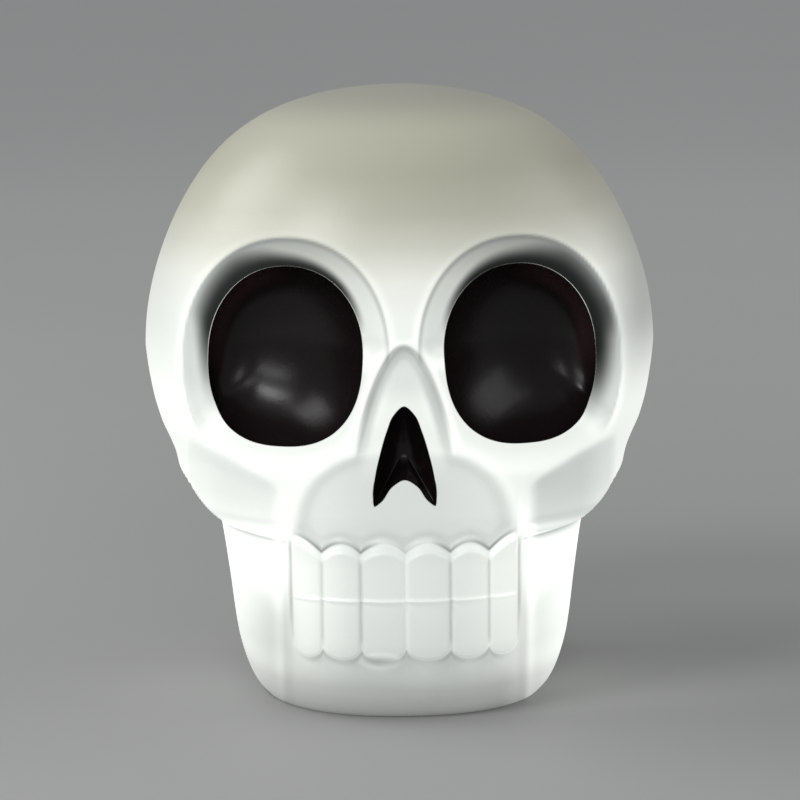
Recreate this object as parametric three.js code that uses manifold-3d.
// A table-top skull light: two translucent shells closed by a foot plate, three gloss
// black socket cups, and a battery light unit with a hinged door at the back.
// Millimetres, +Z up, the face looks along -Y, origin under the middle of the head.
import * as THREE from 'three';
import { mergeVertices } from 'three/addons/utils/BufferGeometryUtils.js';
import Module from 'manifold-3d';

const wasm = await Module();
wasm.setup();

// Driving dimensions of the head
const HEIGHT = 306.5;
const HALF_WIDTH = 129.4;
const FACE_REACH = 120;
const BACK_REACH = 134;
const WALL = 3;
const SEAM_Y = 12;

// Clearances
const GAP = 0.3;
const OVERRUN = 6;

// Outlines of the head, as shares: height share, then share of the width or reach
const jawWidthShares = [[0, 0.553], [0.02, 0.592], [0.055, 0.628], [0.1, 0.655],
  [0.2, 0.685], [0.27, 0.708], [0.34, 0.74], [0.45, 0.82]];
const cheekWidthShares = [[0.2, 0.74], [0.298, 0.815], [0.34, 0.85], [0.37, 0.872],
  [0.405, 0.892], [0.43, 0.916], [0.46, 0.95], [0.5, 0.978], [0.54, 0.992], [0.575, 1]];
const jawReachShares = [[0, 0.717], [0.01, 0.75], [0.02, 0.771], [0.04, 0.8],
  [0.07, 0.822], [0.13, 0.842], [0.2, 0.85], [0.3, 0.85], [0.4, 0.86]];
const cheekReachShares = [[0.2, 0.87], [0.29, 0.888], [0.35, 0.902], [0.4, 0.915],
  [0.5, 0.945], [0.58, 0.98], [0.633, 1]];
const backReachShares = [[0, 0.545], [0.03, 0.567], [0.1, 0.582], [0.2, 0.592],
  [0.3, 0.612], [0.345, 0.69], [0.4, 0.81], [0.46, 0.9], [0.53, 0.967], [0.6, 1]];
const faceSquareness = [[0, 2.3], [0.1, 2.25], [0.25, 2.35], [0.3, 2.4], [0.42, 2.5],
  [0.55, 2.2], [0.7, 2.15], [1, 2.1]];
const backSquareness = [[0, 2.9], [0.28, 2.8], [0.45, 2.3], [1, 2.1]];
const domeFullnessShare = 0.24;

// Lower edge of the cheek: angle from the front in degrees, then height share
const cheekEdgeShares = [[0, 0.294], [48, 0.294], [56, 0.306], [63, 0.33], [70, 0.363],
  [85, 0.378], [180, 0.378]];
const CHEEK_EDGE_FALL = 5;
const CHEEK_REAR_FALL = 60;
const CHEEK_REAR_ANGLES = [80, 130];

// The face's reliefs fade between these angles from the front
const FACE_FADE_ANGLES = [62, 84];

// Hollow of the temple above the cheek arch
const templePlaceShare = 0.463;
const TEMPLE_DEPTH = 2.5;
const TEMPLE_HALF_HEIGHT = 20;
const TEMPLE_ANGLE = 98;
const TEMPLE_HALF_ANGLE = 18;

// The cavity keeps clear of reliefs within this reach, and of the crown above this share
const CAVITY_REACH = 5;
const crownShare = 0.6;

// Eye sockets
const EYE_ACROSS = 57.5;
const EYE_UP = 182.5;
const EYE_LEAN = 3;
const EYE_HALF_WIDTH = 38.1;
const EYE_HALF_HEIGHT = 44;
const EYE_SQUARENESS = 2.2;
const EYE_CUP_DEPTH = 30;
const BROW_DEPTH = 11;
const LID_DEPTH = 3.5;
const browRimShare = 1.34;
const browSwellShare = 0.5;
const BROW_ANGLE = 69;
const browSpreadShares = [-0.45, -0.2];

// Nose opening and the arched frame round it
const NOSE_HALF_WIDTH = 15.3;
const NOSE_HEIGHT = 50.5;
const NOSE_FOOT_UP = 109;
const NOSE_CUP_DEPTH = 16;
const FRAME_TOP_UP = 191;
const FRAME_HEIGHT = 65;
const FRAME_HALF_WIDTH = 28;
const FRAME_DEPTH = 4.5;
const FRAME_EDGE = 4;
const FRAME_FADE_FOOT = 118;
const FRAME_FADE_TOP = 148;
const noseMiddleShare = 0.52;
const noseOutlineShares = [[0, 1], [0.28, 0.9], [0.5, 0.76], [0.72, 0.53], [0.88, 0.31],
  [1, 0.09], [0.97, 0], [0.75, 0.045], [0.375, 0.2], [0, 0.262]];

// Socket cups: a steep side, then a dished floor, and a flange behind the shell
const CUP_WALL = 1.8;
const CUP_LIP_SET = 0.6;
const CUP_FLANGE = 4;
const CUP_FLANGE_THICKNESS = 1.6;
const CUP_END_Y = -20;
const cupSideShare = 0.75;
const cupSideWidthShare = 0.3;
const cupRingShares = [0.4, 0.7, 0.85, 1];

// Upper jaw and cheek plates
const UPPER_JAW_UP = 90;
const UPPER_JAW_HALF_WIDTH = 57.5;
const UPPER_JAW_HEIGHT = 52;
const UPPER_JAW_DEPTH = 3;
const UPPER_JAW_EDGE = 10;
const UPPER_JAW_SQUARENESS = 2.5;
const CHEEK_PLATE_DEPTH = 2.6;
const CHEEK_PLATE_INNER = 58;
const CHEEK_PLATE_OUTER = 107;
const CHEEK_PLATE_TOP_INNER = 124;
const CHEEK_PLATE_TOP_OUTER = 141;
const CHEEK_PLATE_FALL = 14;
const CHEEK_PLATE_EDGE = 5;
const HOLLOW_BLEND = 1;

// Teeth, from the middle outwards
const TOOTH_WIDTHS = [22, 19, 15];
const TOOTH_PROUD = 3.6;
const TOOTH_CROWN = 1.2;
const TOOTH_GROOVE = 1;
const TOOTH_GROOVE_HALF = 2;
const TOOTH_EDGE = 2.4;
const TOOTH_SIDE_EDGE = 1.6;
const GUM_UP = 86.4;
const GUM_SCALLOP = 5.2;
const cornerScallopShare = 0.9;
const BITE_UP = 62;
const BITE_PROUD = 1.2;
const BITE_HALF = 1.5;
const LOWER_SET_BACK = 0.8;
const ROOT_UP = 37;
const ROOT_SCALLOP = 6.5;

// Foot plate and its screws
const FOOT_THICKNESS = 3;
const FOOT_BOSS_INSET = 9.2;
const FOOT_BOSS_RADIUS = 4.4;
const FOOT_RIB_HALF = 2;
const FOOT_BOSS_HEIGHT = 13;
const footBossAngles = [39, -39, 135, -135];
const SCREW_RADIUS = 1.5;
const SCREW_HEAD_RADIUS = 3.1;
const SCREW_HEAD_HEIGHT = 1.6;
const SCREW_LENGTH = 10;
const CROSS_SLOT = 0.7;
const crossReachShare = 0.6;

// Tongues that line up the shells at the seam
const TONGUE_REACH = 5;
const TONGUE_THICKNESS = 1.6;
const TONGUE_WIDTH = 14;
const tongueHeightShares = [0.1, 0.3, 0.55, 0.78];

// Light unit at the back
const UNIT_UP = 52;
const UNIT_PROUD = 1.8;
const UNIT_RADIUS = 47.5;
const UNIT_WALL = 2.2;
const UNIT_FACE_THICKNESS = 3.8;
const CELL_RADIUS = 7.25;
const CELL_LENGTH = 49.5;
const CELL_TIP_RADIUS = 2.6;
const CELL_TIP_LENGTH = 1;
const CELL_COUNT = 3;
const CONTACT_THICKNESS = 0.6;
const CONTACT_ROOM = 2.4;
const CONTACT_HALF_DEPTH = 3.6;
const DOOR_THICKNESS = 3.2;
const DOOR_LAP = 3;
const DOOR_TOP_LAP = 8.5;
const DOOR_SIDE_GAP = 0.4;
const DOOR_RIB_PROUD = 0.6;
const DOOR_RIB_HALF_WIDTH = 3.2;
const DOOR_RIB_HEIGHT = 1.6;
const DOOR_RIB_PITCH = 14.5;
const DOOR_RIB_DROP = 7.25;
const HINGE_PIN_RADIUS = 0.7;
const HINGE_PIN_REACH = 2.5;
const DOOR_SCREW_REACH = 4;
const DOOR_SCREW_SWING_GAP = 0.9;
const UNIT_SCREW_ACROSS = 36.5;
const UNIT_SCREW_RISE = 17;
const SWITCH_ACROSS = 36;
const SWITCH_TRAVEL = 4;
const SWITCH_KNOB_WIDTH = 4;
const SWITCH_KNOB_HEIGHT = 5;
const SWITCH_KNOB_PROUD = 1.8;
const SWITCH_BODY_WIDTH = 8;
const SWITCH_BODY_DEPTH = 4.4;
const SWITCH_BODY_WALL = 1.4;
const BOARD_RADIUS = 20;
const BOARD_THICKNESS = 1.6;
const BOARD_POST = 4;
const BOARD_POST_ACROSS = 14;
const LED_RADIUS = 2.5;
const LED_HEIGHT = 6;
const LED_RING_RADIUS = 8;
const LED_COUNT = 4;
const DOME_RADIUS = 25;
const DOME_LENGTH = 40;
const DOME_WALL = 1.6;
const domeAngles = [0, 20, 40, 60, 75, 90];
const ledProfileShares = [[0, 0], [1.15, 0], [1.15, 0.15], [1, 0.17], [1, 0.65], [0.7, 0.9], [0, 1]];

// Counts of sides and points
const EYE_SIDES = 28;
const NOSE_SIDES = 26;
const UNIT_SIDES = 40;
const CELL_SIDES = 24;
const DOME_SIDES = 20;
const ROUND_SIDES = 14;
const SMALL_SIDES = 10;

// Small helpers
const share = (table, at) => {
  // Smooth curve through a table of shares, with no overshoot
  const last = table.length - 1;
  if (at <= table[0][0]) return table[0][1];
  if (at >= table[last][0]) return table[last][1];
  const i = table.findIndex(([x]) => x > at) - 1;
  const slope = (k) => (table[k + 1][1] - table[k][1]) / (table[k + 1][0] - table[k][0]);
  const tangent = (k) => {
    if (k === 0) return slope(0);
    if (k === last) return slope(last - 1);
    const before = slope(k - 1);
    const after = slope(k);
    return before * after <= 0 ? 0 : (2 * before * after) / (before + after);
  };
  const run = table[i + 1][0] - table[i][0];
  const t = (at - table[i][0]) / run;
  return (1 + 2 * t) * (1 - t) ** 2 * table[i][1] + t * (1 - t) ** 2 * run * tangent(i)
    + t * t * (3 - 2 * t) * table[i + 1][1] + t * t * (t - 1) * run * tangent(i + 1);
};
const clamp01 = (v) => Math.min(1, Math.max(0, v));
const ramp = (from, to, v) => {
  const t = clamp01((v - from) / (to - from));
  return t * t * (3 - 2 * t);
};
const blend = (a, b, t) => a + (b - a) * t;
const degrees = (v) => THREE.MathUtils.radToDeg(v);
const radians = (v) => THREE.MathUtils.degToRad(v);

// Reliefs of the face: outward in millimetres at a place seen from the front
// An eye leans outwards towards its foot, so its middle depends on the height
const eyeAcross = (z) => EYE_ACROSS - Math.tan(radians(EYE_LEAN)) * (z - EYE_UP);

function eyeRatio(x, z) {
  const across = Math.abs(Math.abs(x) - eyeAcross(z)) / EYE_HALF_WIDTH;
  const up = Math.abs(z - EYE_UP) / EYE_HALF_HEIGHT;
  return (across ** EYE_SQUARENESS + up ** EYE_SQUARENESS) ** (1 / EYE_SQUARENESS);
}

function orbitRelief(x, z) {
  const inward = clamp01((browRimShare - eyeRatio(x, z)) / (browRimShare - 1));
  const across = (Math.abs(x) - eyeAcross(z)) / EYE_HALF_WIDTH;
  const bearing = degrees(Math.atan2((z - EYE_UP) / EYE_HALF_HEIGHT, across));
  const browed = ramp(...browSpreadShares, Math.cos(radians(bearing - BROW_ANGLE)));
  const brow = BROW_DEPTH * inward * (1 + browSwellShare * (1 - inward));
  return -blend(LID_DEPTH * ramp(0, 1, inward), brow, browed);
}

function noseFrameRelief(x, z) {
  const widening = FRAME_HALF_WIDTH ** 2 / FRAME_HEIGHT;
  const inside = ((FRAME_TOP_UP - z) * widening - x * x) / Math.hypot(2 * x, widening);
  return -FRAME_DEPTH * ramp(0, FRAME_EDGE, inside) * ramp(FRAME_FADE_FOOT, FRAME_FADE_TOP, z);
}

function upperJawRelief(x, z) {
  const across = Math.abs(x) / UPPER_JAW_HALF_WIDTH;
  const up = Math.max(0, z - UPPER_JAW_UP) / UPPER_JAW_HEIGHT;
  const ratio = (across ** UPPER_JAW_SQUARENESS + up ** UPPER_JAW_SQUARENESS)
    ** (1 / UPPER_JAW_SQUARENESS);
  const inside = (1 - ratio) * UPPER_JAW_HALF_WIDTH;
  return -UPPER_JAW_DEPTH * ramp(0, UPPER_JAW_EDGE, inside);
}

function cheekPlateRelief(x, z) {
  const across = Math.abs(x);
  const along = (across - CHEEK_PLATE_INNER) / (CHEEK_PLATE_OUTER - CHEEK_PLATE_INNER);
  const top = blend(CHEEK_PLATE_TOP_INNER, CHEEK_PLATE_TOP_OUTER, along);
  return -CHEEK_PLATE_DEPTH * ramp(0, CHEEK_PLATE_FALL, top - z)
    * ramp(0, CHEEK_PLATE_EDGE, across - CHEEK_PLATE_INNER)
    * ramp(0, CHEEK_PLATE_EDGE / 2, CHEEK_PLATE_OUTER - across);
}

function toothAt(x) {
  // Place of a point across its tooth: -1 on the inner edge, 1 on the outer edge
  let inner = 0;
  let index = 0;
  while (index < TOOTH_WIDTHS.length - 1 && Math.abs(x) > inner + TOOTH_WIDTHS[index]) {
    inner += TOOTH_WIDTHS[index];
    index += 1;
  }
  const half = TOOTH_WIDTHS[index] / 2;
  return { index, half, across: (Math.abs(x) - inner - half) / half };
}

const TEETH_HALF_WIDTH = TOOTH_WIDTHS.reduce((sum, width) => sum + width, 0);

function teethRelief(x, z) {
  const { index, half, across } = toothAt(x);
  const corner = index === TOOTH_WIDTHS.length - 1;
  const bow = 1 - Math.min(1, Math.abs(across)) ** 2;
  const gum = GUM_UP + GUM_SCALLOP * (corner ? cornerScallopShare * (1 + across) : bow);
  const root = ROOT_UP - ROOT_SCALLOP * Math.sqrt(bow);
  const block = ramp(0, TOOTH_SIDE_EDGE, TEETH_HALF_WIDTH - Math.abs(x));
  const tall = ramp(0, TOOTH_EDGE, gum - z) * ramp(0, TOOTH_EDGE, z - root);
  const fromEdge = (1 - Math.abs(across)) * half;
  const groove = TOOTH_GROOVE * (1 - ramp(0, TOOTH_GROOVE_HALF, fromEdge));
  const bite = BITE_PROUD * (1 - ramp(0, BITE_HALF, Math.abs(z - BITE_UP)));
  const setBack = z < BITE_UP ? LOWER_SET_BACK : 0;
  return block * tall * (TOOTH_PROUD + TOOTH_CROWN * bow - groove + bite - setBack);
}

// The deeper of two hollows, rounded where they meet
const deeper = (a, b) => (a + b - Math.hypot(a - b, HOLLOW_BLEND) + HOLLOW_BLEND) / 2;

function faceRelief(x, z) {
  const aboveMouth = ramp(GUM_UP - TOOTH_EDGE, GUM_UP + TOOTH_EDGE, z);
  const middle = deeper(noseFrameRelief(x, z), upperJawRelief(x, z) * aboveMouth);
  return orbitRelief(x, z) + middle + cheekPlateRelief(x, z) * aboveMouth + teethRelief(x, z);
}

// The head without its reliefs
function dome(z, widest) {
  const up = clamp01((z - widest) / (HEIGHT - widest));
  return Math.sqrt(1 - up * up) * (1 + domeFullnessShare * up ** 4);
}

function cheekMix(angle, z) {
  const rear = ramp(...CHEEK_REAR_ANGLES, angle);
  const fall = blend(CHEEK_EDGE_FALL, CHEEK_REAR_FALL, rear);
  const edge = HEIGHT * share(cheekEdgeShares, angle);
  return ramp(edge - fall / 2, edge + fall / 2, z);
}

function sectionAt(angle, z) {
  const up = Math.max(0, z / HEIGHT);
  const cheek = cheekMix(angle, z);
  const widest = (table) => HEIGHT * table[table.length - 1][0];
  const upTo = (jaw, over, reach) => reach * dome(z, widest(over))
    * blend(share(jaw, up), share(over, up), cheek);
  const width = upTo(jawWidthShares, cheekWidthShares, HALF_WIDTH);
  const face = upTo(jawReachShares, cheekReachShares, FACE_REACH);
  const back = BACK_REACH * dome(z, widest(backReachShares)) * share(backReachShares, up);
  return { width, face, back };
}

function baseRadius(angle, z) {
  // Distance from the upright axis at an angle from the front, in degrees
  const { width, face, back } = sectionAt(angle, z);
  const up = Math.max(0, z / HEIGHT);
  const front = angle <= 90;
  const power = share(front ? faceSquareness : backSquareness, up);
  const across = Math.sin(radians(angle)) / width;
  const along = Math.abs(Math.cos(radians(angle))) / (front ? face : back);
  const temple = TEMPLE_DEPTH * Math.exp(-(((angle - TEMPLE_ANGLE) / TEMPLE_HALF_ANGLE) ** 2)
    - ((z - HEIGHT * templePlaceShare) / TEMPLE_HALF_HEIGHT) ** 2);
  return (across ** power + along ** power) ** (-1 / power) - temple;
}

const frontness = (angle) => 1 - ramp(...FACE_FADE_ANGLES, angle);

function headPoint(signedAngle, z, inset) {
  const angle = Math.abs(signedAngle);
  const steps = inset > 0 ? [-1, 0, 1] : [0];
  const aside = degrees(CAVITY_REACH / FACE_REACH);
  let radius = Infinity;
  let relief = Infinity;
  for (const across of steps) {
    for (const rise of steps) {
      const near = Math.min(180, Math.max(0, angle + across * aside));
      const height = Math.min(HEIGHT, Math.max(0, z + rise * CAVITY_REACH));
      const nearRadius = baseRadius(near, Math.min(height, Math.max(z, HEIGHT * crownShare)));
      const x = nearRadius * Math.sin(radians(near));
      radius = Math.min(radius, nearRadius);
      relief = Math.min(relief, faceRelief(x, height) * frontness(near));
    }
  }
  const reach = Math.max(0, radius - inset);
  const turn = radians(signedAngle);
  const height = z * (HEIGHT - inset) / HEIGHT;
  return [reach * Math.sin(turn), -reach * Math.cos(turn) - relief, height];
}

function faceDepth(x, z) {
  // Where the outer face lies along Y, seen from the front
  let angle = 45;
  for (let pass = 0; pass < 24; pass += 1) {
    const radius = baseRadius(angle, z);
    const sine = Math.min(1, Math.abs(x) / radius);
    angle = blend(angle, degrees(Math.asin(sine)), 0.7);
  }
  return -baseRadius(angle, z) * Math.cos(radians(angle)) - faceRelief(x, z) * frontness(angle);
}

// Solids from rings, and joins and cuts between them
function solidFrom(geometry) {
  geometry.deleteAttribute('normal');
  geometry.deleteAttribute('uv');
  const merged = mergeVertices(geometry);
  return new wasm.Manifold(new wasm.Mesh({
    numProp: 3,
    vertProperties: new Float32Array(merged.attributes.position.array),
    triVerts: new Uint32Array(merged.index.array),
  }));
}

function geometryFrom(solid) {
  const mesh = solid.getMesh();
  const geometry = new THREE.BufferGeometry();
  geometry.setAttribute('position', new THREE.BufferAttribute(mesh.vertProperties, 3));
  geometry.setIndex(new THREE.BufferAttribute(mesh.triVerts, 1));
  geometry.computeVertexNormals();
  return geometry;
}

function loft(rings, firstMiddle, lastMiddle) {
  // Skin over rings of equally many points, closed at both ends by a fan
  const count = rings[0].length;
  const points = [...rings.flat(), firstMiddle, lastMiddle];
  const first = points.length - 2;
  const faces = [];
  rings.slice(1).forEach((_, r) => {
    for (let i = 0; i < count; i += 1) {
      const next = (i + 1) % count;
      const [a, b] = [r * count + i, r * count + next];
      faces.push(a, b, b + count, a, b + count, a + count);
    }
  });
  const top = (rings.length - 1) * count;
  for (let i = 0; i < count; i += 1) {
    const next = (i + 1) % count;
    faces.push(next, i, first, top + i, top + next, first + 1);
  }
  let volume = 0;
  for (let i = 0; i < faces.length; i += 3) {
    const [a, b, c] = [0, 1, 2].map((k) => new THREE.Vector3(...points[faces[i + k]]));
    volume += a.dot(b.cross(c));
  }
  if (volume < 0) faces.reverse();
  const geometry = new THREE.BufferGeometry();
  geometry.setAttribute('position', new THREE.Float32BufferAttribute(points.flat(), 3));
  geometry.setIndex(faces);
  return solidFrom(geometry);
}

function block([x0, x1], [y0, y1], [z0, z1]) {
  const geometry = new THREE.BoxGeometry(x1 - x0, y1 - y0, z1 - z0);
  geometry.translate((x0 + x1) / 2, (y0 + y1) / 2, (z0 + z1) / 2);
  return solidFrom(geometry);
}

function rod(radius, [from, to], [a, b], axis = 'y', sides = ROUND_SIDES) {
  // A round bar from one place to another along an axis, at the other two places
  const geometry = new THREE.CylinderGeometry(radius, radius, to - from, sides);
  geometry.translate(0, (from + to) / 2, 0);
  if (axis === 'z') geometry.rotateX(Math.PI / 2);
  if (axis === 'x') geometry.rotateZ(-Math.PI / 2);
  geometry.translate(...{ x: [0, a, b], y: [a, 0, b], z: [a, b, 0] }[axis]);
  return solidFrom(geometry);
}

// Sampling of the head: finer round the face
const faceAngles = [0, 1.3, 5.8, 10.4, 11.9, 13.4, 17.6, 22.1, 23.4, 24.8, 29, 32.6, 34.6,
  38, 42, 46, 50, 54, 58, 62, 67, 73, 82, 90];
const faceHeightShares = [0, 0.006, 0.02, 0.042, 0.07, 0.1, 0.112, 0.124, 0.15, 0.176, 0.19,
  0.1965, 0.203, 0.23, 0.256, 0.27, 0.28, 0.29, 0.302, 0.32, 0.345, 0.37, 0.395, 0.42, 0.445,
  0.472, 0.5, 0.53, 0.56, 0.59, 0.615, 0.638, 0.665, 0.695, 0.72, 0.745, 0.766, 0.79, 0.83,
  0.87, 0.91, 0.945, 0.972, 0.992];
const backAngles = [90, 99, 108, 118, 128, 138, 148, 159, 170, 180];
const backHeightShares = [0, 0.02, 0.07, 0.16, 0.26, 0.315, 0.35, 0.39, 0.44, 0.5,
  0.57, 0.64, 0.71, 0.78, 0.85, 0.905, 0.95, 0.98, 0.994];
const cavityAngles = [0, 10, 20, 30, 40, 50, 60, 74, 90, 107, 125, 143, 162, 180];
const hiddenFrontAngles = [0, 35, 65];
const hiddenBackAngles = [115, 145, 180];
const cavityHeightShares = [0, 0.03, 0.09, 0.16, 0.23, 0.28, 0.33, 0.38, 0.44, 0.5,
  0.57, 0.64, 0.71, 0.78, 0.85, 0.91, 0.96, 0.99];

function headSolid(angles, heightShares, inset = 0, foot = 0) {
  const mirrored = angles.filter((a) => a > 0 && a < 180).map((a) => -a).reverse();
  const round = [...angles, ...mirrored];
  const rings = heightShares.map((s) => round.map((a) => headPoint(a, s * HEIGHT, inset)));
  if (foot < 0) rings.unshift(rings[0].map(([x, y]) => [x, y, foot]));
  return loft(rings, [0, 0, foot], [0, 0, HEIGHT - inset]);
}

const outerFace = headSolid([...faceAngles, ...hiddenBackAngles], faceHeightShares);
const outerBack = headSolid([...hiddenFrontAngles, ...backAngles], backHeightShares);
const cavityAt = (inset) => headSolid(cavityAngles, cavityHeightShares, inset, -OVERRUN);
const cavity = cavityAt(WALL);
const cavityLining = cavityAt(WALL + GAP);

// Planes past the head on every side
const SIDE = HALF_WIDTH + OVERRUN;
const AHEAD = -FACE_REACH - OVERRUN;
const BEHIND = BACK_REACH + OVERRUN;
const BELOW = -2 * OVERRUN;
const ABOVE = HEIGHT + OVERRUN;
const aheadOf = (y) => block([-SIDE, SIDE], [AHEAD, y], [BELOW, ABOVE]);
const behind = (y) => block([-SIDE, SIDE], [y, BEHIND], [BELOW, ABOVE]);

// Outlines of the three openings, seen from the front
function eyeOutline(side) {
  return Array.from({ length: EYE_SIDES }, (_, i) => {
    const turn = (2 * Math.PI * i) / EYE_SIDES;
    const [c, s] = [Math.cos(turn), Math.sin(turn)];
    const reach = (Math.abs(c) ** EYE_SQUARENESS + Math.abs(s) ** EYE_SQUARENESS)
      ** (-1 / EYE_SQUARENESS);
    const up = EYE_UP + reach * s * EYE_HALF_HEIGHT;
    return [side * (eyeAcross(up) + reach * c * EYE_HALF_WIDTH), up];
  });
}

function noseOutline() {
  const left = noseOutlineShares.slice(1, -1).map(([x, z]) => [-x, z]).reverse();
  const points = [...noseOutlineShares, ...left].map(([x, z]) => new THREE.Vector3(
    x * NOSE_HALF_WIDTH, 0, NOSE_FOOT_UP + z * NOSE_HEIGHT));
  const curve = new THREE.CatmullRomCurve3(points, true, 'centripetal');
  return curve.getPoints(NOSE_SIDES).slice(0, -1).map((p) => [p.x, p.z]);
}

const openings = {
  left: { outline: eyeOutline(-1), middle: [-EYE_ACROSS, EYE_UP], depth: EYE_CUP_DEPTH },
  right: { outline: eyeOutline(1), middle: [EYE_ACROSS, EYE_UP], depth: EYE_CUP_DEPTH },
  nose: {
    outline: noseOutline(),
    middle: [0, NOSE_FOOT_UP + NOSE_HEIGHT * noseMiddleShare],
    depth: NOSE_CUP_DEPTH,
  },
};

function windingOf(outline) {
  const area = outline.reduce((sum, [x, z], i) => {
    const [nx, nz] = outline[(i + 1) % outline.length];
    return sum + x * nz - nx * z;
  }, 0);
  return Math.sign(area);
}

function offsetOutline(outline, out) {
  // The outline moved outwards by a distance, square to itself
  const count = outline.length;
  const side = windingOf(outline) * out;
  return outline.map(([x, z], i) => {
    const [ax, az] = outline[(i + count - 1) % count];
    const [bx, bz] = outline[(i + 1) % count];
    const length = Math.hypot(bx - ax, bz - az);
    return [x + (bz - az) / length * side, z - (bx - ax) / length * side];
  });
}

function openingPrism({ outline, middle: [x, z] }, out) {
  // The space of an opening from in front of the face to well behind it
  const ring = offsetOutline(outline, out);
  const at = (y) => ring.map(([px, pz]) => [px, y, pz]);
  return loft([at(AHEAD), at(CUP_END_Y)], [x, AHEAD, z], [x, CUP_END_Y, z]);
}

function cupShape({ outline, middle, depth }) {
  // Gives the rings of the bowl at a place in its wall: 0 on its back, 1 on its front
  const outer = offsetOutline(outline, -GAP);
  const lip = outer.map(([x, z]) => faceDepth(x, z) + CUP_LIP_SET);
  const mean = lip.reduce((sum, y) => sum + y, 0) / lip.length;
  const narrow = Math.min(...outer.map(([x, z]) => Math.hypot(x - middle[0], z - middle[1])));
  const wallShare = CUP_WALL / Math.max(narrow, EYE_HALF_WIDTH / 2);
  const floor = (s) => depth * (cupSideShare * ramp(0, cupSideWidthShare, 1 - s)
    + (1 - cupSideShare) * (1 - s * s));
  const ringAt = (s, size, deeper) => outer.map(([x, z], i) => [
    blend(middle[0], x, s * size),
    blend(mean, lip[i], s * s) + floor(s) + deeper,
    blend(middle[1], z, s * size),
  ]);
  return {
    rings: (through) => cupRingShares.map((s) => (
      ringAt(s, 1 - wallShare * through, CUP_WALL * (1 - through)))),
    lipRing: ringAt(1, 1, 0),
    middleAt: (through) => [middle[0], mean + floor(0) + CUP_WALL * (1 - through), middle[1]],
  };
}

function socketCup(opening) {
  // A bowl whose lip follows the face, with a flange that starts inside its wall
  const { rings, lipRing, middleAt } = cupShape(opening);
  const skin = [...rings(0), lipRing, ...rings(1).reverse()];
  const bowl = loft(skin, middleAt(0), middleAt(1));
  const halfWay = rings(0.5);
  const mouth = halfWay[halfWay.length - 1].map(([x, , z]) => [x, AHEAD, z]);
  const hollow = loft([...halfWay, mouth], middleAt(0.5), [opening.middle[0], AHEAD, opening.middle[1]]);
  const flange = cavityLining.subtract(cavityAt(WALL + GAP + CUP_FLANGE_THICKNESS))
    .intersect(openingPrism(opening, CUP_FLANGE))
    .subtract(hollow);
  return bowl.add(flange);
}

// Foot: four bosses in the shells, the plate and its screws
const footBosses = footBossAngles.map((angle) => {
  const reach = baseRadius(Math.abs(angle), 0) - FOOT_BOSS_INSET;
  return [reach * Math.sin(radians(angle)), -reach * Math.cos(radians(angle))];
});

function footBoss([x, y]) {
  // A round boss with a rib to the wall beside it
  const [foot, top] = [FOOT_THICKNESS + GAP, FOOT_BOSS_HEIGHT];
  const reach = Math.hypot(x, y);
  const aside = [-y / reach * FOOT_RIB_HALF, x / reach * FOOT_RIB_HALF];
  const wall = [x, y].map((v) => v * (reach + FOOT_BOSS_INSET) / reach);
  const corners = [[x, y, 1], [...wall, 1], [...wall, -1], [x, y, -1]].map(([cx, cy, side]) => [
    cx + side * aside[0], cy + side * aside[1]]);
  const at = (z) => corners.map((corner) => [...corner, z]);
  const middle = [(x + wall[0]) / 2, (y + wall[1]) / 2];
  const rib = loft([at(foot), at(top)], [...middle, foot], [...middle, top]);
  return rod(FOOT_BOSS_RADIUS, [foot, top], [x, y], 'z').add(rib).subtract(
    rod(SCREW_RADIUS + GAP, [0, FOOT_BOSS_HEIGHT - WALL + GAP], [x, y], 'z', SMALL_SIDES));
}

function screw([x, z], headFace, out, length) {
  // A pan-head screw along Y with a cross slot; out is the way that its head looks
  const span = (from, to) => [headFace + out * from, headFace + out * to].sort((a, b) => a - b);
  const slot = span(-SCREW_HEAD_HEIGHT / 2, OVERRUN);
  const arm = SCREW_HEAD_RADIUS * crossReachShare;
  const half = CROSS_SLOT / 2;
  return rod(SCREW_HEAD_RADIUS, span(-SCREW_HEAD_HEIGHT, 0), [x, z])
    .add(rod(SCREW_RADIUS, span(-length, -SCREW_HEAD_HEIGHT / 2), [x, z], 'y', SMALL_SIDES))
    .subtract(block([x - arm, x + arm], slot, [z - half, z + half]))
    .subtract(block([x - half, x + half], slot, [z - arm, z + arm]));
}

function footPlate() {
  let plate = cavityLining.intersect(block([-SIDE, SIDE], [AHEAD, BEHIND], [0, FOOT_THICKNESS]));
  for (const place of footBosses) {
    plate = plate.subtract(rod(SCREW_RADIUS + GAP, [-OVERRUN, OVERRUN], place, 'z'))
      .subtract(rod(SCREW_HEAD_RADIUS + GAP, [-OVERRUN, SCREW_HEAD_HEIGHT + 2 * GAP], place, 'z'));
  }
  return plate;
}

// Light unit: its face stands just proud of the back at its top, and its sizes follow the cells
const UNIT_FACE_Y = BACK_REACH * share(backReachShares, (UNIT_UP + UNIT_RADIUS) / HEIGHT)
  + UNIT_PROUD;
const CELL_PITCH = 2 * CELL_RADIUS + GAP;
const BAY_HALF_WIDTH = (CELL_COUNT * CELL_PITCH + GAP) / 2;
const BAY_HALF_HEIGHT = (CELL_LENGTH + CELL_TIP_LENGTH) / 2 + CONTACT_ROOM;
const DOOR_INNER_Y = UNIT_FACE_Y - DOOR_THICKNESS;
const CELL_Y = DOOR_INNER_Y - GAP - CELL_RADIUS;
const BAY_FLOOR_Y = CELL_Y - CELL_RADIUS - GAP;
const UNIT_INNER_Y = BAY_FLOOR_Y - UNIT_WALL;
const UNIT_BACK_Y = UNIT_FACE_Y - UNIT_FACE_THICKNESS;
const DOOR_HALF_WIDTH = BAY_HALF_WIDTH + DOOR_LAP;
const PIN_HALF_LENGTH = DOOR_HALF_WIDTH + HINGE_PIN_REACH;
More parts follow.
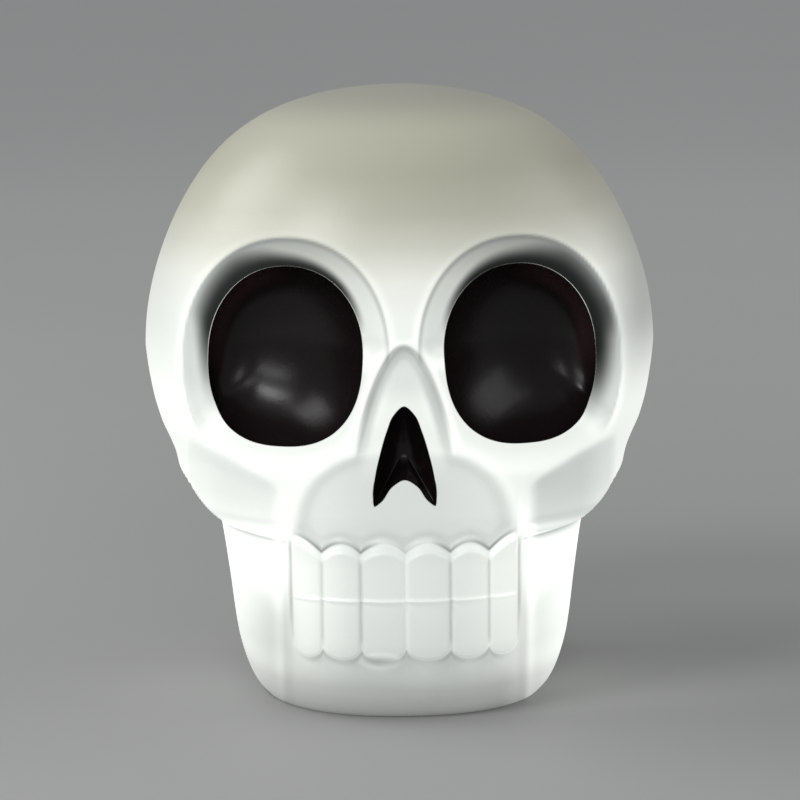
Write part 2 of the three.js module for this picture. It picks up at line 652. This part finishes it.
const HINGE_RADIUS = DOOR_THICKNESS / 2;
const HINGE_Y = UNIT_FACE_Y - HINGE_RADIUS;
const HINGE_UP = UNIT_UP - BAY_HALF_HEIGHT - DOOR_LAP + HINGE_RADIUS;
const DOOR_TOP_UP = UNIT_UP + BAY_HALF_HEIGHT + DOOR_TOP_LAP;
const DOOR_SCREW_UP = DOOR_TOP_UP - DOOR_TOP_LAP / 2;
const unitScrews = [[1, 1], [-1, 1], [-1, -1], [1, -1]].map(([x, z]) => [
  x * UNIT_SCREW_ACROSS, UNIT_UP + z * UNIT_SCREW_RISE]);

// A block round the bay, taller at the top where the door's screw goes in
const boxRound = (out, span) => block([-BAY_HALF_WIDTH - out, BAY_HALF_WIDTH + out], span,
  [UNIT_UP - BAY_HALF_HEIGHT - out, DOOR_TOP_UP - UNIT_WALL + out]);

function lightHousing() {
  const skinned = headSolid([...hiddenFrontAngles, ...backAngles], backHeightShares, -GAP);
  const face = rod(UNIT_RADIUS, [UNIT_BACK_Y, UNIT_FACE_Y], [0, UNIT_UP], 'y', UNIT_SIDES);
  const skirt = rod(UNIT_RADIUS, [BAY_FLOOR_Y, UNIT_FACE_Y], [0, UNIT_UP], 'y', UNIT_SIDES)
    .subtract(rod(UNIT_RADIUS - UNIT_WALL, [0, UNIT_FACE_Y], [0, UNIT_UP], 'y', UNIT_SIDES));
  let housing = face.add(skirt);
  for (const place of unitScrews) {
    housing = housing.add(rod(SCREW_HEAD_RADIUS, [BAY_FLOOR_Y, UNIT_FACE_Y], place));
  }
  housing = housing.subtract(skinned);
  housing = housing.add(boxRound(UNIT_WALL, [UNIT_INNER_Y, UNIT_FACE_Y]));
  const bay = block([-BAY_HALF_WIDTH, BAY_HALF_WIDTH], [BAY_FLOOR_Y, UNIT_FACE_Y + OVERRUN],
    [UNIT_UP - BAY_HALF_HEIGHT, UNIT_UP + BAY_HALF_HEIGHT]);
  const doorWell = block([-DOOR_HALF_WIDTH - DOOR_SIDE_GAP, DOOR_HALF_WIDTH + DOOR_SIDE_GAP],
    [DOOR_INNER_Y - GAP, UNIT_FACE_Y + OVERRUN],
    [HINGE_UP - HINGE_RADIUS - DOOR_SIDE_GAP, DOOR_TOP_UP + DOOR_SIDE_GAP]);
  const pinHalf = PIN_HALF_LENGTH + GAP;
  const pinHole = rod(HINGE_PIN_RADIUS + GAP, [-pinHalf, pinHalf], [HINGE_Y, HINGE_UP], 'x', SMALL_SIDES);
  housing = housing.subtract(bay).subtract(doorWell).subtract(pinHole);
  housing = housing.subtract(rod(SCREW_RADIUS + DOOR_SCREW_SWING_GAP,
    [UNIT_INNER_Y, UNIT_FACE_Y], [0, DOOR_SCREW_UP]));
  for (const place of unitScrews) {
    housing = housing.subtract(rod(SCREW_RADIUS + GAP, [0, UNIT_FACE_Y + OVERRUN], place))
      .subtract(rod(SCREW_HEAD_RADIUS + GAP,
        [UNIT_FACE_Y - SCREW_HEAD_HEIGHT - 2 * GAP, UNIT_FACE_Y + OVERRUN], place));
  }
  return housing.subtract(switchSlot()).add(boardPosts());
}

const SWITCH_TOP_UP = UNIT_UP + (SWITCH_KNOB_HEIGHT + SWITCH_TRAVEL) / 2;
const switchSpan = (extra) => [SWITCH_TOP_UP - SWITCH_KNOB_HEIGHT - SWITCH_TRAVEL - extra,
  SWITCH_TOP_UP + extra];
const switchAcross = (half) => [SWITCH_ACROSS - half, SWITCH_ACROSS + half];

function switchSlot() {
  return block(switchAcross(SWITCH_KNOB_WIDTH / 2 + GAP), [UNIT_BACK_Y - GAP, UNIT_FACE_Y + OVERRUN],
    switchSpan(GAP));
}

function boardPosts() {
  const places = [-1, 1].map((side) => [side * BOARD_POST_ACROSS, UNIT_UP]);
  const post = (place) => rod(SCREW_HEAD_RADIUS, [UNIT_INNER_Y - BOARD_POST, UNIT_INNER_Y + GAP], place)
    .subtract(rod(SCREW_RADIUS + GAP, [UNIT_INNER_Y - BOARD_POST - GAP, UNIT_INNER_Y], place));
  return post(places[0]).add(post(places[1]));
}

function batteryDoor() {
  const panel = block([-DOOR_HALF_WIDTH, DOOR_HALF_WIDTH], [DOOR_INNER_Y, UNIT_FACE_Y],
    [HINGE_UP, DOOR_TOP_UP]);
  let door = panel.add(rod(HINGE_RADIUS, [-DOOR_HALF_WIDTH, DOOR_HALF_WIDTH],
    [HINGE_Y, HINGE_UP], 'x', CELL_SIDES));
  const ribFoot = UNIT_UP - DOOR_RIB_DROP;
  for (const x of [-DOOR_RIB_PITCH, 0, DOOR_RIB_PITCH]) {
    door = door.add(block([x - DOOR_RIB_HALF_WIDTH, x + DOOR_RIB_HALF_WIDTH],
      [UNIT_FACE_Y, UNIT_FACE_Y + DOOR_RIB_PROUD], [ribFoot, ribFoot + DOOR_RIB_HEIGHT]));
  }
  return door.subtract(rod(HINGE_PIN_RADIUS + GAP,
    [-DOOR_HALF_WIDTH - OVERRUN, DOOR_HALF_WIDTH + OVERRUN], [HINGE_Y, HINGE_UP], 'x', SMALL_SIDES))
    .subtract(rod(SCREW_RADIUS + GAP, [0, UNIT_FACE_Y + OVERRUN], [0, DOOR_SCREW_UP]))
    .subtract(rod(SCREW_HEAD_RADIUS + GAP,
      [UNIT_FACE_Y - SCREW_HEAD_HEIGHT - GAP, UNIT_FACE_Y + OVERRUN], [0, DOOR_SCREW_UP]));
}

function hingePin() {
  return rod(HINGE_PIN_RADIUS, [-PIN_HALF_LENGTH, PIN_HALF_LENGTH], [HINGE_Y, HINGE_UP], 'x', SMALL_SIDES);
}

function switchKnob() {
  return block(switchAcross(SWITCH_KNOB_WIDTH / 2),
    [UNIT_BACK_Y - SWITCH_BODY_DEPTH + SWITCH_BODY_WALL + GAP, UNIT_FACE_Y + SWITCH_KNOB_PROUD],
    [SWITCH_TOP_UP - SWITCH_KNOB_HEIGHT, SWITCH_TOP_UP]);
}

function switchBody() {
  const shell = block(switchAcross(SWITCH_BODY_WIDTH / 2),
    [UNIT_BACK_Y - GAP - SWITCH_BODY_DEPTH, UNIT_BACK_Y - GAP], switchSpan(SWITCH_BODY_WALL + GAP));
  return shell.subtract(block(switchAcross(SWITCH_KNOB_WIDTH / 2 + GAP),
    [UNIT_BACK_Y - SWITCH_BODY_DEPTH + SWITCH_BODY_WALL, UNIT_BACK_Y], switchSpan(GAP)));
}

function switchRoom() {
  // Room for the switch body in the shell behind it
  return block(switchAcross(SWITCH_BODY_WIDTH / 2 + GAP),
    [UNIT_BACK_Y - SWITCH_BODY_DEPTH - 2 * GAP, BEHIND], switchSpan(SWITCH_BODY_WALL + 2 * GAP));
}

const cellPlaces = Array.from({ length: CELL_COUNT }, (_, i) => (i - (CELL_COUNT - 1) / 2) * CELL_PITCH);

function batteryCell(x, upward) {
  const foot = UNIT_UP - (CELL_LENGTH + CELL_TIP_LENGTH) / 2 + (upward ? 0 : CELL_TIP_LENGTH);
  const can = rod(CELL_RADIUS, [foot, foot + CELL_LENGTH], [x, CELL_Y], 'z', CELL_SIDES);
  const tip = upward ? [foot + CELL_LENGTH - GAP, foot + CELL_LENGTH + CELL_TIP_LENGTH]
    : [foot - CELL_TIP_LENGTH, foot + GAP];
  return can.add(rod(CELL_TIP_RADIUS, tip, [x, CELL_Y], 'z', SMALL_SIDES));
}

function contactPlate(side) {
  // A strip across the cells' ends with one raised pad for each cell
  const wall = UNIT_UP + side * (BAY_HALF_HEIGHT - GAP);
  const span = (from, to) => [wall - side * from, wall - side * to].sort((a, b) => a - b);
  let plate = block([GAP - BAY_HALF_WIDTH, BAY_HALF_WIDTH - GAP],
    [CELL_Y - CONTACT_HALF_DEPTH, CELL_Y + CONTACT_HALF_DEPTH], span(0, CONTACT_THICKNESS));
  for (const x of cellPlaces) {
    plate = plate.add(rod(CELL_TIP_RADIUS, span(CONTACT_THICKNESS / 2, CONTACT_ROOM - 2 * GAP),
      [x, CELL_Y], 'z', SMALL_SIDES));
  }
  return plate;
}

const BOARD_Y = UNIT_INNER_Y - BOARD_POST - GAP;

function ledBoard() {
  let board = rod(BOARD_RADIUS, [BOARD_Y - BOARD_THICKNESS, BOARD_Y], [0, UNIT_UP], 'y', CELL_SIDES);
  for (const side of [-1, 1]) {
    board = board.subtract(rod(SCREW_RADIUS + GAP, [0, UNIT_FACE_Y],
      [side * BOARD_POST_ACROSS, UNIT_UP]));
  }
  return board;
}

function led(index) {
  const turn = (2 * Math.PI * (index + 0.5)) / LED_COUNT;
  const profile = ledProfileShares.map(([r, h]) => new THREE.Vector2(r * LED_RADIUS, h * LED_HEIGHT));
  const geometry = new THREE.LatheGeometry(profile, SMALL_SIDES);
  geometry.rotateX(Math.PI);
  geometry.translate(LED_RING_RADIUS * Math.cos(turn), BOARD_Y - BOARD_THICKNESS - GAP,
    UNIT_UP + LED_RING_RADIUS * Math.sin(turn));
  return solidFrom(geometry);
}

function diffuserDome() {
  const seat = UNIT_INNER_Y - GAP;
  const curve = (radius, length) => domeAngles.map((a) => new THREE.Vector2(
    radius * Math.cos(radians(a)), -length * Math.sin(radians(a))));
  const outside = curve(DOME_RADIUS, DOME_LENGTH);
  const inside = curve(DOME_RADIUS - DOME_WALL, DOME_LENGTH - DOME_WALL).reverse();
  outside[outside.length - 1].x = 0;
  inside[0].x = 0;
  const profile = [...outside, ...inside, outside[0]].reverse();
  const geometry = new THREE.LatheGeometry(profile, DOME_SIDES);
  geometry.translate(0, seat, UNIT_UP);
  return solidFrom(geometry);
}

// The two shells
function frontShell() {
  let shell = outerFace.subtract(cavity).intersect(aheadOf(SEAM_Y - GAP / 2));
  for (const opening of Object.values(openings)) {
    shell = shell.subtract(openingPrism(opening, 0));
  }
  for (const place of footBosses.slice(0, 2)) {
    shell = shell.add(footBoss(place));
  }
  return shell;
}

function seamTongues() {
  // Pairs of short tongues on the inside of the seam, and one over the crown
  const hollow = cavityAt(WALL + GAP + TONGUE_THICKNESS);
  const lining = cavityLining.subtract(hollow);
  const wall = cavityAt(WALL / 2).subtract(hollow);
  const pads = tongueHeightShares.map((s) => [SIDE, HEIGHT * s, HEIGHT * s + TONGUE_WIDTH]);
  pads.push([TONGUE_WIDTH, HEIGHT - SIDE / 2, HEIGHT]);
  return pads.map(([half, foot, top]) => {
    const strip = (y0, y1) => block([-half, half], [y0, y1], [foot, top]);
    return lining.intersect(strip(SEAM_Y - TONGUE_REACH, SEAM_Y + TONGUE_REACH))
      .add(wall.intersect(strip(SEAM_Y + GAP, SEAM_Y + TONGUE_REACH)));
  });
}

function rearShell() {
  let shell = outerBack.subtract(cavity).intersect(behind(SEAM_Y + GAP / 2));
  for (const place of unitScrews) {
    const boss = rod(SCREW_HEAD_RADIUS + GAP, [BAY_FLOOR_Y - SCREW_LENGTH / 2, UNIT_BACK_Y], place);
    shell = shell.add(boss.intersect(outerBack));
  }
  for (const place of unitScrews) {
    shell = shell.subtract(rod(SCREW_RADIUS + GAP, [SEAM_Y, UNIT_FACE_Y + OVERRUN], place));
  }
  shell = shell.subtract(boxRound(UNIT_WALL + GAP, [SEAM_Y, BEHIND]))
    .subtract(switchRoom());
  for (const place of footBosses.slice(2)) {
    shell = shell.add(footBoss(place));
  }
  return seamTongues().reduce((whole, tongue) => whole.add(tongue), shell);
}

// Finishes
const finish = (color, roughness, metalness = 0, more = {}) => new THREE.MeshStandardMaterial(
  { color, roughness, metalness, ...more });
const bone = finish(0xdfe0d4, 0.5, 0, { emissive: 0x5a5a50 });
const blackGloss = finish(0x0d090a, 0.12);
const greyPlastic = finish(0xd7d8d2, 0.55);
const steel = finish(0x9a9c9e, 0.35, 1);
const brass = finish(0xb9a15a, 0.4, 1);
const greenBoard = finish(0x1f5a3a, 0.6);
const cellSleeve = finish(0x2f3338, 0.4);
const clearLens = finish(0xf5f1d8, 0.2);
const frosted = finish(0xf2f1ea, 0.45);
const darkPlastic = finish(0x1b1b1d, 0.5);

// The origin lies under the middle of the head's depth
const skull = new THREE.Group();
skull.position.y = (FACE_REACH - BACK_REACH) / 2;

function place(name, solid, material) {
  const mesh = new THREE.Mesh(geometryFrom(solid), material);
  mesh.name = name;
  skull.add(mesh);
  return mesh;
}

place('front_shell', frontShell(), bone);
place('rear_shell', rearShell(), bone);
place('foot_plate', footPlate(), bone);
place('eye_cup_left', socketCup(openings.left), blackGloss);
place('eye_cup_right', socketCup(openings.right), blackGloss);
place('nose_cup', socketCup(openings.nose), blackGloss);
place('light_housing', lightHousing(), greyPlastic);
place('battery_door', batteryDoor(), greyPlastic);
place('door_hinge_pin', hingePin(), steel);
place('door_screw', screw([0, DOOR_SCREW_UP], UNIT_FACE_Y - GAP, 1,
  DOOR_THICKNESS + DOOR_SCREW_REACH), steel);
unitScrews.forEach((at, i) => {
  const solid = screw(at, UNIT_FACE_Y - GAP, 1, SCREW_LENGTH + SCREW_HEAD_HEIGHT);
  place(`unit_screw_${i + 1}`, solid, steel);
});
place('switch_knob', switchKnob(), darkPlastic);
place('switch_body', switchBody(), darkPlastic);
cellPlaces.forEach((x, i) => place(`battery_cell_${i + 1}`, batteryCell(x, i % 2 === 0), cellSleeve));
place('contact_plate_top', contactPlate(1), brass);
place('contact_plate_bottom', contactPlate(-1), brass);
place('led_board', ledBoard(), greenBoard);
[-1, 1].forEach((side, i) => {
  const headFace = BOARD_Y - BOARD_THICKNESS - GAP - SCREW_HEAD_HEIGHT;
  const solid = screw([side * BOARD_POST_ACROSS, UNIT_UP], headFace, -1, BOARD_POST + SCREW_HEAD_HEIGHT);
  place(`board_screw_${i + 1}`, solid, steel);
});
for (let i = 0; i < LED_COUNT; i += 1) place(`led_${i + 1}`, led(i), clearLens);
place('diffuser_dome', diffuserDome(), frosted);
footBosses.forEach(([x, y], i) => {
  const mesh = place(`foot_screw_${i + 1}`, screw([0, 0], 0, -1, SCREW_LENGTH), steel);
  mesh.rotation.x = Math.PI / 2;
  mesh.position.set(x, y, GAP);
});

export default skull;
